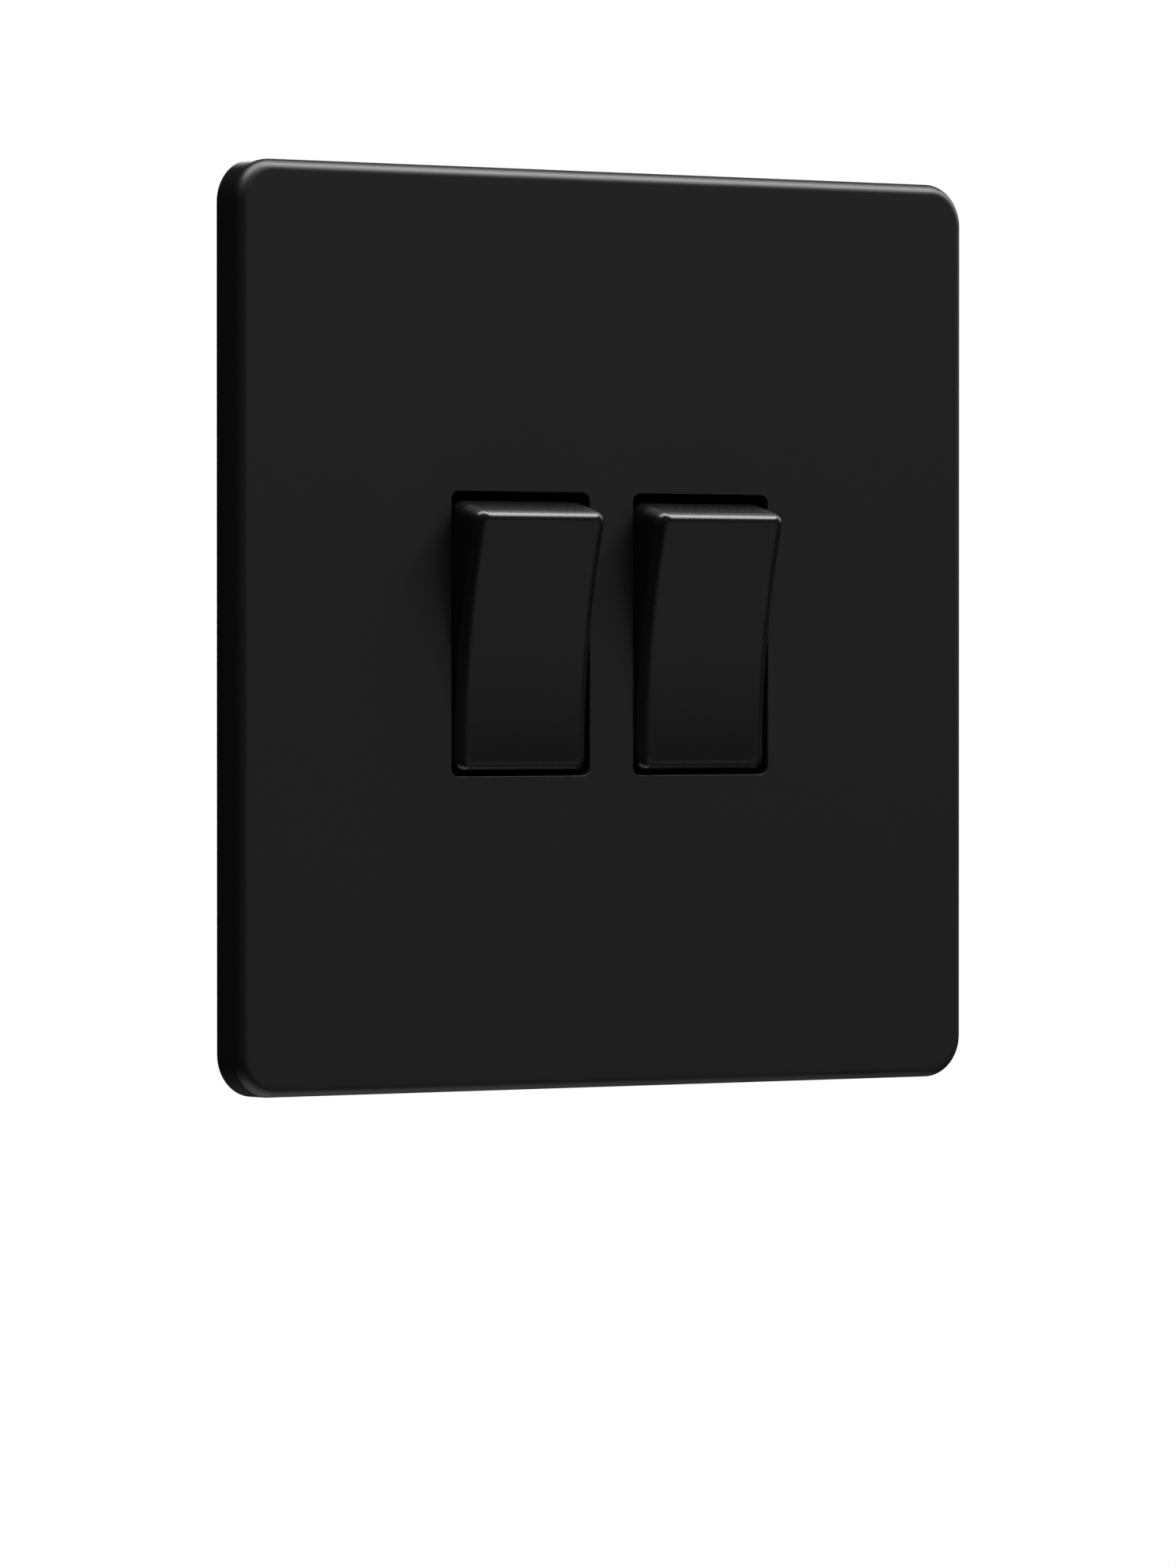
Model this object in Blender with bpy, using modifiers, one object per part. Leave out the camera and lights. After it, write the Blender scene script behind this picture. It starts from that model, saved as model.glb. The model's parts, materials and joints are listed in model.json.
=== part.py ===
"""Two-gang rocker wall switch with a clip-on screwless plate, built as separate solids.

The wall is the plane Y = 0: +Y goes into the wall, -Y faces the user, X runs to the right, Z is up.
The origin is the middle of the plate on the wall. Lengths below are millimetres, angles degrees.
"""

import math

import bmesh
import bpy
from mathutils import Vector

MM = 0.001

# Front plate
PLATE_SIZE = 86.0
PLATE_DEPTH = 3.6
PLATE_WALL = 1.2
PLATE_SKIN = 1.0
PLATE_CORNER_RADIUS = 4.0
PLATE_EDGE_RADIUS = 1.1
PLATE_CORNER_STEPS = 10
OPENING_WIDTH = 16.2
OPENING_HEIGHT = 26.55
OPENING_CORNER_RADIUS = 0.8
NOTCH_WIDTH = 9.0
NOTCH_DEPTH = 1.0

# Gangs: two identical switch mechanisms beside each other
GANG_SPACING = 21.33
PIVOT_BEHIND_FRONT = 3.5
PIVOT_HEIGHT = -0.44
SIDES = {"left": -1, "right": 1}

# Rocker, in its own frame: forward of the pivot and above it
ROCKER_TILT = 7.75
ROCKER_FORWARD = 5.6
ROCKER_SKIRT = 0.8
ROCKER_FRONT_LENGTH = 24.2
ROCKER_BASE_LENGTH = 25.6
ROCKER_FRONT_WIDTH = 15.2
ROCKER_BASE_WIDTH = 15.6
ROCKER_END_DRAFT = 8.5
ROCKER_KNEE = 3.2
ROCKER_SAG = 0.9
ROCKER_FILLET = 0.7
ROCKER_WALL = 1.4
FRONT_CUTS = 14
TUBE_RADIUS = 2.9
TUBE_BORE = 1.85
TUBE_REACH = 5.4
TRUNNION_RADIUS = 1.2
TRUNNION_REACH = 8.9
RUNNING_GAP = 0.08

# Layers between the plate and the wall
GAP = 0.3
CLIP_FRONT = -2.4
CLIP_BACK = -1.6
CLIP_HALF = 41.4
CLIP_LIP = 1.3
LUG_LENGTH = 10.0
YOKE_FRONT = -1.4
YOKE_BACK = -0.6
YOKE_HALF = 39.6
GASKET_FRONT = -0.4
GASKET_HALF = 41.2
PAD_SIZE = 13.0
FIXING_CENTRES = 60.3
FIXING_SHANK = 1.7
FIXING_HEAD = (-2.45, -1.6)
FIXING_HEAD_RADIUS = 3.3
FIXING_END = 13.4

# Switch mechanism: half sizes across and up, and depths behind the wall plane
MODULE_HALF_WIDTH = 9.9
MODULE_HALF_HEIGHT = 16.2
COLLAR_HALF_HEIGHT = 14.9
FLANGE_HALF_HEIGHT = 18.4
FLANGE_BACK = 1.2
MODULE_FRONT = -2.3
MODULE_WALL = 1.5
WEB_FRONT = 2.8
WEB_BACK = 4.0
MODULE_BACK = 12.8
COVER_BACK = 15.0
HOOK_REACH = 0.7
HOOK_HALF = 3.0
HOOK_FRONT = -2.2

# Moving contact: it tips on a knife edge, the opposite way to the rocker
CONTACT_TILT = 10.75
CONTACT_PIVOT = 9.4
CONTACT_HALF_LENGTH = 8.6
CONTACT_WIDTH = 5.2
CONTACT_THICKNESS = 0.6
BUTTON_RADIUS = 1.4
BUTTON_HEIGHT = 0.4
BUTTON_LEVER = 7.2
FIXED_BUTTON_FRONT = 11.5
STRIP_FRONT = 11.9
STRIP_BACK = 12.6
PLUNGER_RADIUS = 1.65
PLUNGER_HEAD = 1.4
PLUNGER_TIP = 8.85
PLUNGER_NOSE = 1.15
NOSE_STEPS = 4
SPRING_WIRE = 0.36
SPRING_RADIUS = 1.3
SPRING_TURNS = 5
SPRING_POINTS = 10

# Terminals
TERMINAL_X = 4.9
TERMINAL_Z = 12.0
TERMINAL_HALF = (3.2, 2.8)
TERMINAL_FRONT = 5.4
TUNNEL_DEPTH = 8.2
TUNNEL_RADIUS = 1.7
SCREW_RADIUS = 1.5
SCREW_BORE = 1.62
SCREW_HEAD_RADIUS = 2.4
SCREW_HEAD_HEIGHT = 1.5
SLOT_WIDTH = 0.8

# Earth terminal on the yoke
EARTH_AT = (0.0, 0.0, 26.0)
EARTH_HALF = 3.6
EARTH_BACK = 7.0
EARTH_TUNNEL = 3.4

PARTS = "rocker_wall_switch"
ROUND = 20
CORNER_STEPS = 5


def clear_scene():
    for item in list(bpy.data.objects):
        bpy.data.objects.remove(item, do_unlink=True)


def new_collection(name):
    collection = bpy.data.collections.new(name)
    bpy.context.scene.collection.children.link(collection)
    return collection


def make_material(name, colour, roughness, metallic=0.0):
    material = bpy.data.materials.new(name)
    material.use_nodes = True
    shader = material.node_tree.nodes["Principled BSDF"]
    shader.inputs["Base Color"].default_value = (*colour, 1.0)
    shader.inputs["Roughness"].default_value = roughness
    shader.inputs["Metallic"].default_value = metallic
    return material


def add_object(name, mesh, collection, parent=None, location=(0, 0, 0)):
    item = bpy.data.objects.new(name, mesh)
    collection.objects.link(item)
    item.parent = parent
    item.location = Vector(location) * MM
    return item


def as_mesh(bm, name):
    """Turns a mesh worked out in millimetres into one in metres."""
    bmesh.ops.scale(bm, vec=(MM, MM, MM), verts=bm.verts)
    bmesh.ops.recalc_face_normals(bm, faces=bm.faces)
    mesh = bpy.data.meshes.new(name)
    bm.to_mesh(mesh)
    bm.free()
    return mesh


def finish(item, material, sharp_angle=35.0):
    item.data.materials.append(material)
    item.data.shade_smooth()
    item.data.set_sharp_from_angle(angle=math.radians(sharp_angle))
    return item


def block_mesh(name, low, high, corner_radius=0.0, edge_radius=0.0, steps=CORNER_STEPS):
    """A block between two corners: round corners seen from the front, then a rounded front edge."""
    bm = bmesh.new()
    bmesh.ops.create_cube(bm, size=1.0)
    low, high = Vector(low), Vector(high)
    bmesh.ops.scale(bm, vec=high - low, verts=bm.verts)
    bmesh.ops.translate(bm, vec=(low + high) / 2, verts=bm.verts)
    if corner_radius:
        along_y = [e for e in bm.edges if abs(e.verts[0].co.y - e.verts[1].co.y) > 1e-6]
        bmesh.ops.bevel(
            bm, geom=along_y, offset=corner_radius, segments=steps, profile=0.5, affect="EDGES"
        )
    if edge_radius:
        front = [e for e in bm.edges if all(abs(v.co.y - low.y) < 1e-6 for v in e.verts)]
        bmesh.ops.bevel(
            bm, geom=front, offset=edge_radius, segments=5, profile=0.5, affect="EDGES"
        )
    return as_mesh(bm, name)


def rod_mesh(name, radius, start, end, tip_radius=None, axis="Y"):
    """A round rod or cone along an axis, from start to end."""
    bm = bmesh.new()
    bmesh.ops.create_cone(
        bm,
        cap_ends=True,
        segments=ROUND,
        radius1=radius,
        radius2=radius if tip_radius is None else tip_radius,
        depth=end - start,
    )
    bmesh.ops.translate(bm, vec=(0, 0, (start + end) / 2), verts=bm.verts)
    if axis == "X":
        for v in bm.verts:
            v.co = Vector((v.co.z, v.co.x, v.co.y))
    if axis == "Y":
        for v in bm.verts:
            v.co = Vector((v.co.y, v.co.z, v.co.x))
    return as_mesh(bm, name)


def turned(name, profile, collection, parent, location, steps=ROUND):
    """A turned piece about Y: profile points are (radius, y), and the axis of turning is the object's Y."""
    mesh = bpy.data.meshes.new(name)
    points = [(radius * MM, y * MM, 0.0) for radius, y in profile]
    edges = [(i, i + 1) for i in range(len(points) - 1)]
    mesh.from_pydata(points, edges, [])
    item = add_object(name, mesh, collection, parent, location)
    screw = item.modifiers.new("turn", "SCREW")
    screw.axis = "Y"
    screw.steps = steps
    screw.render_steps = steps
    screw.use_merge_vertices = True
    screw.merge_threshold = 0.000001
    screw.use_normal_calculate = True
    return item


def hide_tool(tool):
    tool.hide_render = True
    tool.display_type = "WIRE"


def boolean(item, tool, operation):
    modifier = item.modifiers.new(tool.name, "BOOLEAN")
    modifier.operation = operation
    modifier.solver = "EXACT"
    modifier.object = tool


class Shop:
    """Holds the two collections and makes pieces, cutters and added shapes in them."""

    def __init__(self):
        self.parts = new_collection(PARTS)
        self.tools = new_collection("cutters")
        self.count = 0

    def piece(self, name, mesh, material, parent=None, location=(0, 0, 0)):
        return finish(add_object(name, mesh, self.parts, parent, location), material)

    def tool(self, item, mesh, operation, parent=None, location=(0, 0, 0)):
        self.count += 1
        tool = add_object(f"tool_{self.count}", mesh, self.tools, parent, location)
        hide_tool(tool)
        boolean(item, tool, operation)

    def cut(self, item, mesh, parent=None, location=(0, 0, 0)):
        self.tool(item, mesh, "DIFFERENCE", parent, location)

    def join(self, item, mesh, parent=None, location=(0, 0, 0)):
        self.tool(item, mesh, "UNION", parent, location)

    def empty(self, name, location, tilt=0.0):
        item = add_object(name, None, self.parts, None, location)
        item.empty_display_size = 0.005
        item.rotation_euler.x = math.radians(tilt)
        return item


def gang_x(side):
    return SIDES[side] * GANG_SPACING / 2


def pivot_y():
    return -PLATE_DEPTH + PIVOT_BEHIND_FRONT


def make_plate(shop, material):
    half = PLATE_SIZE / 2
    front = -PLATE_DEPTH
    plate = shop.piece(
        "face_plate",
        block_mesh(
            "face_plate",
            (-half, front, -half),
            (half, 0.0, half),
            PLATE_CORNER_RADIUS,
            PLATE_EDGE_RADIUS,
            PLATE_CORNER_STEPS,
        ),
        material,
    )
    inner = half - PLATE_WALL
    shop.cut(
        plate,
        block_mesh(
            "plate_hollow",
            (-inner, front + PLATE_SKIN, -inner),
            (inner, 1.0, inner),
            PLATE_CORNER_RADIUS - PLATE_WALL,
            steps=PLATE_CORNER_STEPS,
        ),
    )
    for side in SIDES:
        shop.cut(
            plate,
            block_mesh(
                "opening",
                (-OPENING_WIDTH / 2, front - 1.0, -OPENING_HEIGHT / 2),
                (OPENING_WIDTH / 2, front + PLATE_SKIN + 1.0, OPENING_HEIGHT / 2),
                OPENING_CORNER_RADIUS,
            ),
            location=(gang_x(side), 0, PIVOT_HEIGHT),
        )
    shop.cut(
        plate,
        block_mesh(
            "prise_notch",
            (-NOTCH_WIDTH / 2, -NOTCH_DEPTH, -half - 1.0),
            (NOTCH_WIDTH / 2, 1.0, -inner + 1.0),
        ),
    )
    return plate


def rocker_body_mesh():
    """The solid rocker before hollowing: a shallow hollow arc in front, and ends drafted to a knee."""
    front, back = -ROCKER_FORWARD, ROCKER_SKIRT
    half_length = ROCKER_FRONT_LENGTH / 2
    knee_length = half_length + ROCKER_KNEE * math.tan(math.radians(ROCKER_END_DRAFT))
    side_slope = (ROCKER_BASE_WIDTH - ROCKER_FRONT_WIDTH) / 2 / (back - front)
    sections = {
        -1: (front, half_length),
        0: (front + ROCKER_KNEE, knee_length),
        1: (back, ROCKER_BASE_LENGTH / 2),
    }
    bm = bmesh.new()
    bmesh.ops.create_cube(bm, size=2.0)
    split_mesh(bm, (0, 0, 0), (0, 1, 0))
    for i in range(1, FRONT_CUTS):
        split_mesh(bm, (0, 0, -1.0 + 2.0 * i / FRONT_CUTS), (0, 0, 1))
    for v in bm.verts:
        across, level, up = v.co.x, round(v.co.y), v.co.z
        y, length = sections[level]
        if level == -1:
            y += ROCKER_SAG * (1.0 - up * up)
        half_width = ROCKER_FRONT_WIDTH / 2 + side_slope * (y - front)
        v.co = Vector((across * half_width, y, up * length))
    bm.normal_update()
    front_rim = [e for e in bm.edges if is_front_rim(e)]
    bmesh.ops.bevel(
        bm, geom=front_rim, offset=ROCKER_FILLET, segments=4, profile=0.5, affect="EDGES"
    )
    return as_mesh(bm, "rocker_body")


def split_mesh(bm, point, normal):
    bmesh.ops.bisect_plane(
        bm, geom=bm.verts[:] + bm.edges[:] + bm.faces[:], plane_co=point, plane_no=normal
    )


def is_front_rim(edge):
    """An edge where the hollow front meets a side or an end."""
    if any(v.co.y > ROCKER_KNEE - ROCKER_FORWARD - GAP for v in edge.verts):
        return False
    return any(abs(face.normal.y) < 0.5 for face in edge.link_faces)


def make_rocker(shop, side, material, axis):
    rocker = shop.piece(f"rocker_{side}", rocker_body_mesh(), material, axis)
    inner_x = ROCKER_FRONT_WIDTH / 2 - ROCKER_WALL
    inner_z = ROCKER_FRONT_LENGTH / 2 - ROCKER_WALL
    roof = -(ROCKER_FORWARD - ROCKER_SAG - ROCKER_WALL)
    shop.cut(
        rocker,
        block_mesh("rocker_hollow", (-inner_x, roof, -inner_z), (inner_x, 3.0, inner_z)),
        axis,
    )
    shop.join(rocker, rod_mesh("tube", TUBE_RADIUS, roof - 0.4, TUBE_REACH), axis)
    shop.cut(rocker, rod_mesh("tube_bore", TUBE_BORE, roof + 0.7, TUBE_REACH + 1.0), axis)
    for direction in (-1, 1):
        start, end = sorted((direction * (inner_x + 0.4), direction * TRUNNION_REACH))
        shop.join(rocker, rod_mesh("trunnion", TRUNNION_RADIUS, start, end, axis="X"), axis)
    return rocker


def make_plunger(shop, side, material, axis):
    """A nylon pin that slides in the rocker's tube, with a ball nose that strokes the moving contact."""
    profile = [
        (0.0, PLUNGER_HEAD),
        (PLUNGER_RADIUS, PLUNGER_HEAD),
        (PLUNGER_RADIUS, TUBE_REACH + 0.6),
        (PLUNGER_NOSE, TUBE_REACH + 1.2),
    ]
    nose_centre = PLUNGER_TIP - PLUNGER_NOSE
    for i in range(NOSE_STEPS + 1):
        angle = math.radians(90.0 * i / NOSE_STEPS)
        profile.append((PLUNGER_NOSE * math.cos(angle), nose_centre + PLUNGER_NOSE * math.sin(angle)))
    plunger = turned(f"plunger_{side}", profile, shop.parts, axis, (0, 0, 0))
    plunger.data.materials.append(material)
    return plunger


def make_spring(shop, side, material, axis):
    start = -(ROCKER_FORWARD - ROCKER_SAG - ROCKER_WALL) + 0.7 + GAP
    end = PLUNGER_HEAD - 0.4
    first, last = start + SPRING_WIRE / 2, end - SPRING_WIRE / 2
    count = SPRING_TURNS * SPRING_POINTS
    curve = bpy.data.curves.new(f"plunger_spring_{side}", "CURVE")
    curve.dimensions = "3D"
    curve.bevel_depth = SPRING_WIRE / 2 * MM
    curve.bevel_resolution = 2
    curve.use_fill_caps = True
    spline = curve.splines.new("POLY")
    spline.points.add(count)
    for i, point in enumerate(spline.points):
        angle = 2 * math.pi * i / SPRING_POINTS
        along = first + (last - first) * i / count
        place = Vector((SPRING_RADIUS * math.cos(angle), along, SPRING_RADIUS * math.sin(angle)))
        point.co = (*(place * MM), 1.0)
    spring = add_object(f"plunger_spring_{side}", curve, shop.parts, axis)
    spring.data.materials.append(material)
    return spring


def make_contact(shop, side, material, axis):
    """The see-saw contact: its rear face passes through the knife edge it tips on."""
    half = CONTACT_WIDTH / 2
    contact = shop.piece(
        f"moving_contact_{side}",
        block_mesh(
            "contact_strip",
            (-half, -CONTACT_THICKNESS, -CONTACT_HALF_LENGTH),
            (half, 0.0, CONTACT_HALF_LENGTH),
            1.2,
        ),
        material,
        axis,
    )
    for end in (-1, 1):
        button = rod_mesh("button", BUTTON_RADIUS, -0.2, BUTTON_HEIGHT, BUTTON_RADIUS - 0.2)
        shop.join(contact, shifted(button, (0, 0, end * BUTTON_LEVER)), axis)
    return contact


def shifted(mesh, offset):
    for v in mesh.vertices:
        v.co += Vector(offset) * MM
    return mesh


def make_housing(shop, side, material):
    x = gang_x(side)
    at = (x, 0, PIVOT_HEIGHT)
    w = MODULE_HALF_WIDTH
    housing = shop.piece(
        f"module_housing_{side}",
        block_mesh(
            "housing",
            (-w, MODULE_FRONT, -COLLAR_HALF_HEIGHT),
            (w, 0.5, COLLAR_HALF_HEIGHT),
            0.8,
        ),
        material,
        location=at,
    )
    flange = block_mesh(
        "flange", (-w, -GAP, -FLANGE_HALF_HEIGHT), (w, FLANGE_BACK, FLANGE_HALF_HEIGHT), 0.8
    )
    shop.join(housing, flange, location=at)
    body = block_mesh(
        "body", (-w, 0.8, -MODULE_HALF_HEIGHT), (w, MODULE_BACK, MODULE_HALF_HEIGHT), 0.8
    )
    shop.join(housing, body, location=at)
    for end in (-1, 1):
        low, high = sorted((end * (COLLAR_HALF_HEIGHT - 0.5), end * (COLLAR_HALF_HEIGHT + HOOK_REACH)))
        hook = block_mesh("hook", (-HOOK_HALF, HOOK_FRONT, low), (HOOK_HALF, YOKE_FRONT - 0.2, high))
        shop.join(housing, hook, location=at)
    cavity_x = ROCKER_BASE_WIDTH / 2 + GAP
    cavity_z = OPENING_HEIGHT / 2 + 0.1
    shop.cut(
        housing,
        block_mesh("front_cavity", (-cavity_x, -5.0, -cavity_z), (cavity_x, WEB_FRONT, cavity_z), 0.5),
        location=at,
    )
    inner_w = w - MODULE_WALL
    inner_h = MODULE_HALF_HEIGHT - 1.1
    shop.cut(
        housing,
        block_mesh("rear_cavity", (-inner_w, WEB_BACK, -inner_h), (inner_w, 20.0, inner_h), 0.5),
        location=at,
    )
    swing = TUBE_REACH * math.sin(math.radians(ROCKER_TILT))
    slot_x = TUBE_RADIUS + 0.4
    slot_z = TUBE_RADIUS + swing + 0.4
    shop.cut(
        housing,
        block_mesh("web_slot", (-slot_x, 2.0, -slot_z), (slot_x, 5.0, slot_z), 0.5),
        location=at,
    )
    for direction in (-1, 1):
        start, end = sorted((direction * (cavity_x - 1.0), direction * (TRUNNION_REACH + 0.3)))
        hole = rod_mesh("ear_hole", TRUNNION_RADIUS + RUNNING_GAP, start, end, axis="X")
        shop.cut(housing, hole, location=(x, pivot_y(), PIVOT_HEIGHT))
    for direction, end in terminal_places():
        low, high = sorted((end * (inner_h - 1.0), end * (MODULE_HALF_HEIGHT + 1.0)))
        entry = rod_mesh("wire_entry", TUNNEL_RADIUS + 0.4, low, high, axis="Z")
        shop.cut(housing, entry, location=(x + direction * TERMINAL_X, TUNNEL_DEPTH, PIVOT_HEIGHT))
    return housing


def terminal_places():
    """Common at the upper left, one at the upper right, two at the lower right, seen from the front."""
    return [(-1, 1), (1, 1), (1, -1)]


def make_cover(shop, side, material):
    at = (gang_x(side), 0, PIVOT_HEIGHT)
    w = MODULE_HALF_WIDTH
    h = MODULE_HALF_HEIGHT
    cover = shop.piece(
        f"rear_cover_{side}",
        block_mesh("cover", (-w, MODULE_BACK + 0.2, -h), (w, COVER_BACK, h), 0.8),
        material,
        location=at,
    )
    for direction, end in terminal_places():
        hole = rod_mesh("screw_access", SCREW_HEAD_RADIUS + 0.35, MODULE_BACK - 1.0, COVER_BACK + 1.0)
        place = (at[0] + direction * TERMINAL_X, 0, at[2] + end * TERMINAL_Z)
        shop.cut(cover, hole, location=place)
    return cover


def terminal_block_mesh(name):
    half_x, half_z = TERMINAL_HALF
    return block_mesh(name, (-half_x, TERMINAL_FRONT, -half_z), (half_x, STRIP_BACK, half_z), 0.4)


def make_terminal(shop, name, side, place, material):
    """A brass block with a wire tunnel up and down and a screw bore from the rear."""
    direction, end = place
    at = (gang_x(side) + direction * TERMINAL_X, 0, PIVOT_HEIGHT + end * TERMINAL_Z)
    terminal = shop.piece(name, terminal_block_mesh(name), material, location=at)
    if direction < 0:
        add_common_arm(shop, terminal, side)
    else:
        add_fixed_contact(shop, terminal, side, end)
    half_z = TERMINAL_HALF[1]
    tunnel = rod_mesh("tunnel", TUNNEL_RADIUS, -half_z - 1.0, half_z + 1.0, axis="Z")
    shop.cut(terminal, tunnel, location=(at[0], TUNNEL_DEPTH, at[2]))
    bore = rod_mesh("screw_bore", SCREW_BORE, TUNNEL_DEPTH, STRIP_BACK + 1.0)
    shop.cut(terminal, bore, location=at)


def add_common_arm(shop, terminal, side):
    """A side arm, a cross bar and the knife edge that the moving contact tips on."""
    at = (gang_x(side), 0, PIVOT_HEIGHT)
    front, back = STRIP_FRONT - 1.0, STRIP_BACK - 1.0
    arm = block_mesh("arm", (-7.9, front, -1.6), (-5.2, back, TERMINAL_Z - 1.5))
    shop.join(terminal, arm, location=at)
    bar = block_mesh("bar", (-7.9, front, -1.6), (2.6, back, 1.6))
    shop.join(terminal, bar, location=at)
    shop.join(terminal, knife_mesh(front + 0.3), location=at)


def knife_mesh(base):
    """A three-sided ridge across the cross bar."""
    bm = bmesh.new()
    bmesh.ops.create_cone(bm, cap_ends=True, segments=3, radius1=1.0, radius2=1.0, depth=CONTACT_WIDTH)
    tip = CONTACT_PIVOT + 0.12
    low = min(v.co.x for v in bm.verts)
    high = max(v.co.x for v in bm.verts)
    for v in bm.verts:
        share = (v.co.x - low) / (high - low)
        v.co = Vector((v.co.z, base + (tip - base) * share, v.co.y * 0.8))
    return as_mesh(bm, "knife")


def add_fixed_contact(shop, terminal, side, end):
    at = (gang_x(side), 0, PIVOT_HEIGHT)
    low, high = sorted((end * 5.6, end * 8.8))
    strip = block_mesh("strip", (-2.4, STRIP_FRONT, low), (7.9, STRIP_BACK, high), 0.5)
    shop.join(terminal, strip, location=at)
    low, high = sorted((end * 8.0, end * (TERMINAL_Z - 1.5)))
    neck = block_mesh("neck", (2.2, STRIP_FRONT, low), (7.9, STRIP_BACK, high))
    shop.join(terminal, neck, location=at)
    button = rod_mesh("fixed_button", BUTTON_RADIUS - 0.2, FIXED_BUTTON_FRONT, STRIP_FRONT + 0.3, BUTTON_RADIUS)
    shop.join(terminal, shifted(button, (0, 0, end * BUTTON_LEVER)), location=at)


def make_screw(shop, name, at, material, shank_radius, head, shank_end, head_radius):
    """A slotted screw along Y with its head between head[0] and head[1]; the shank runs to shank_end."""
    near, far = head
    outward = -1 if shank_end > near else 1
    seat, top = (far, near) if outward < 0 else (near, far)
    dome = 0.35 * abs(top - seat)
    tip = 0.5 * shank_radius
    profile = [
        (0.0, top),
        (head_radius * 0.72, top),
        (head_radius, top - outward * dome),
        (head_radius, seat),
        (shank_radius, seat),
        (shank_radius, shank_end + outward * tip),
        (shank_radius * 0.6, shank_end),
        (0.0, shank_end),
    ]
    if outward < 0:
        profile.reverse()
    screw = turned(name, profile, shop.parts, None, at)
    screw.data.materials.append(material)
    low, high = sorted((top - outward * 0.5 * abs(top - seat), top + outward))
    slot = block_mesh(
        "slot", (-head_radius - 1.0, low, -SLOT_WIDTH / 2), (head_radius + 1.0, high, SLOT_WIDTH / 2)
    )
    shop.cut(screw, slot, location=at)
    return screw


def make_clip_frame(shop, material):
    """The moulded carrier: a thin panel with a lip round it, which the plate snaps over."""
    half = CLIP_HALF
    lip_back = GASKET_FRONT - GAP
    frame = shop.piece(
        "clip_frame",
        block_mesh("clip", (-half, CLIP_FRONT, -half), (half, lip_back, half), PLATE_CORNER_RADIUS - 1.6),
        material,
    )
    inner = half - CLIP_LIP
    shop.cut(frame, block_mesh("clip_hollow", (-inner, CLIP_BACK, -inner), (inner, 1.0, inner), 1.6))
    cut_module_window(shop, frame, HOOK_REACH)
    for x in (-1, 1):
        hole = rod_mesh("head_hole", 4.2, CLIP_FRONT - 1.0, CLIP_BACK + 1.0)
        shop.cut(frame, hole, location=(x * FIXING_CENTRES / 2, 0, 0))
    for turn in range(4):
        shop.join(frame, lug_mesh(turn))
    return frame


def lug_mesh(turn):
    """A low snap lug in the middle of one side of the lip."""
    reach = PLATE_SIZE / 2 - PLATE_WALL - 0.15
    low = (CLIP_HALF - 0.5, CLIP_BACK, -LUG_LENGTH / 2)
    high = (reach, CLIP_BACK + 0.6, LUG_LENGTH / 2)
    mesh = block_mesh("lug", low, high)
    for v in mesh.vertices:
        for _ in range(turn):
            v.co.x, v.co.z = -v.co.z, v.co.x
    return mesh


def window_half_width():
    return GANG_SPACING / 2 + MODULE_HALF_WIDTH + GAP


def cut_module_window(shop, item, extra=0.0):
    wide = window_half_width() + extra
    tall = COLLAR_HALF_HEIGHT + GAP + extra
    window = block_mesh("window", (-wide, -5.0, -tall), (wide, 5.0, tall), 0.8)
    shop.cut(item, window, location=(0, 0, PIVOT_HEIGHT))


def make_yoke(shop, material):
    half = YOKE_HALF
    yoke = shop.piece(
        "support_frame",
        block_mesh("yoke", (-half, YOKE_FRONT, -half), (half, YOKE_BACK, half), 1.4),
        material,
    )
    pad = PAD_SIZE / 2
    for x in (-1, 1):
        at = (x * FIXING_CENTRES / 2, 0, 0)
        shop.join(yoke, block_mesh("pad", (-pad, YOKE_FRONT + 0.2, -pad), (pad, 0.0, pad), 1.5), location=at)
        slot = block_mesh("fixing_slot", (-4.0, -5.0, -2.0), (4.0, 5.0, 2.0), 1.9)
        shop.cut(yoke, slot, location=at)
    cut_module_window(shop, yoke)
    return yoke


def make_earth_terminal(shop, material):
    half = EARTH_HALF
    block = shop.piece(
        "earth_terminal",
        block_mesh("earth", (-half, YOKE_BACK + 0.2, -half), (half, EARTH_BACK, half), 0.5),
        material,
        location=EARTH_AT,
    )
    x, _, z = EARTH_AT
    tunnel = rod_mesh("earth_tunnel", TUNNEL_RADIUS, -half - 1.0, half + 1.0, axis="X")
    shop.cut(block, tunnel, location=(x, EARTH_TUNNEL, z))
    bore = rod_mesh("earth_bore", SCREW_BORE, EARTH_TUNNEL, EARTH_BACK + 1.0)
    shop.cut(block, bore, location=EARTH_AT)
    return block


def make_gasket(shop, material):
    half = GASKET_HALF
    gasket = shop.piece(
        "wall_gasket",
        block_mesh("gasket", (-half, GASKET_FRONT, -half), (half, 0.0, half), 2.4),
        material,
    )
    wide = window_half_width() + 0.4
    tall = FLANGE_HALF_HEIGHT + 0.5
    window = block_mesh("gasket_window", (-wide, -2.0, -tall), (wide, 2.0, tall), 1.0)
    shop.cut(gasket, window, location=(0, 0, PIVOT_HEIGHT))
    pad = PAD_SIZE / 2 + 0.4
    for x in (-1, 1):
        hole = block_mesh("pad_window", (-pad, -2.0, -pad), (pad, 2.0, pad), 1.5)
        shop.cut(gasket, hole, location=(x * FIXING_CENTRES / 2, 0, 0))
    earth = EARTH_HALF + 0.5
    notch = block_mesh("earth_window", (-earth, -2.0, -earth - 6.0), (earth, 2.0, earth))
    shop.cut(gasket, notch, location=EARTH_AT)
    return gasket


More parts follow.
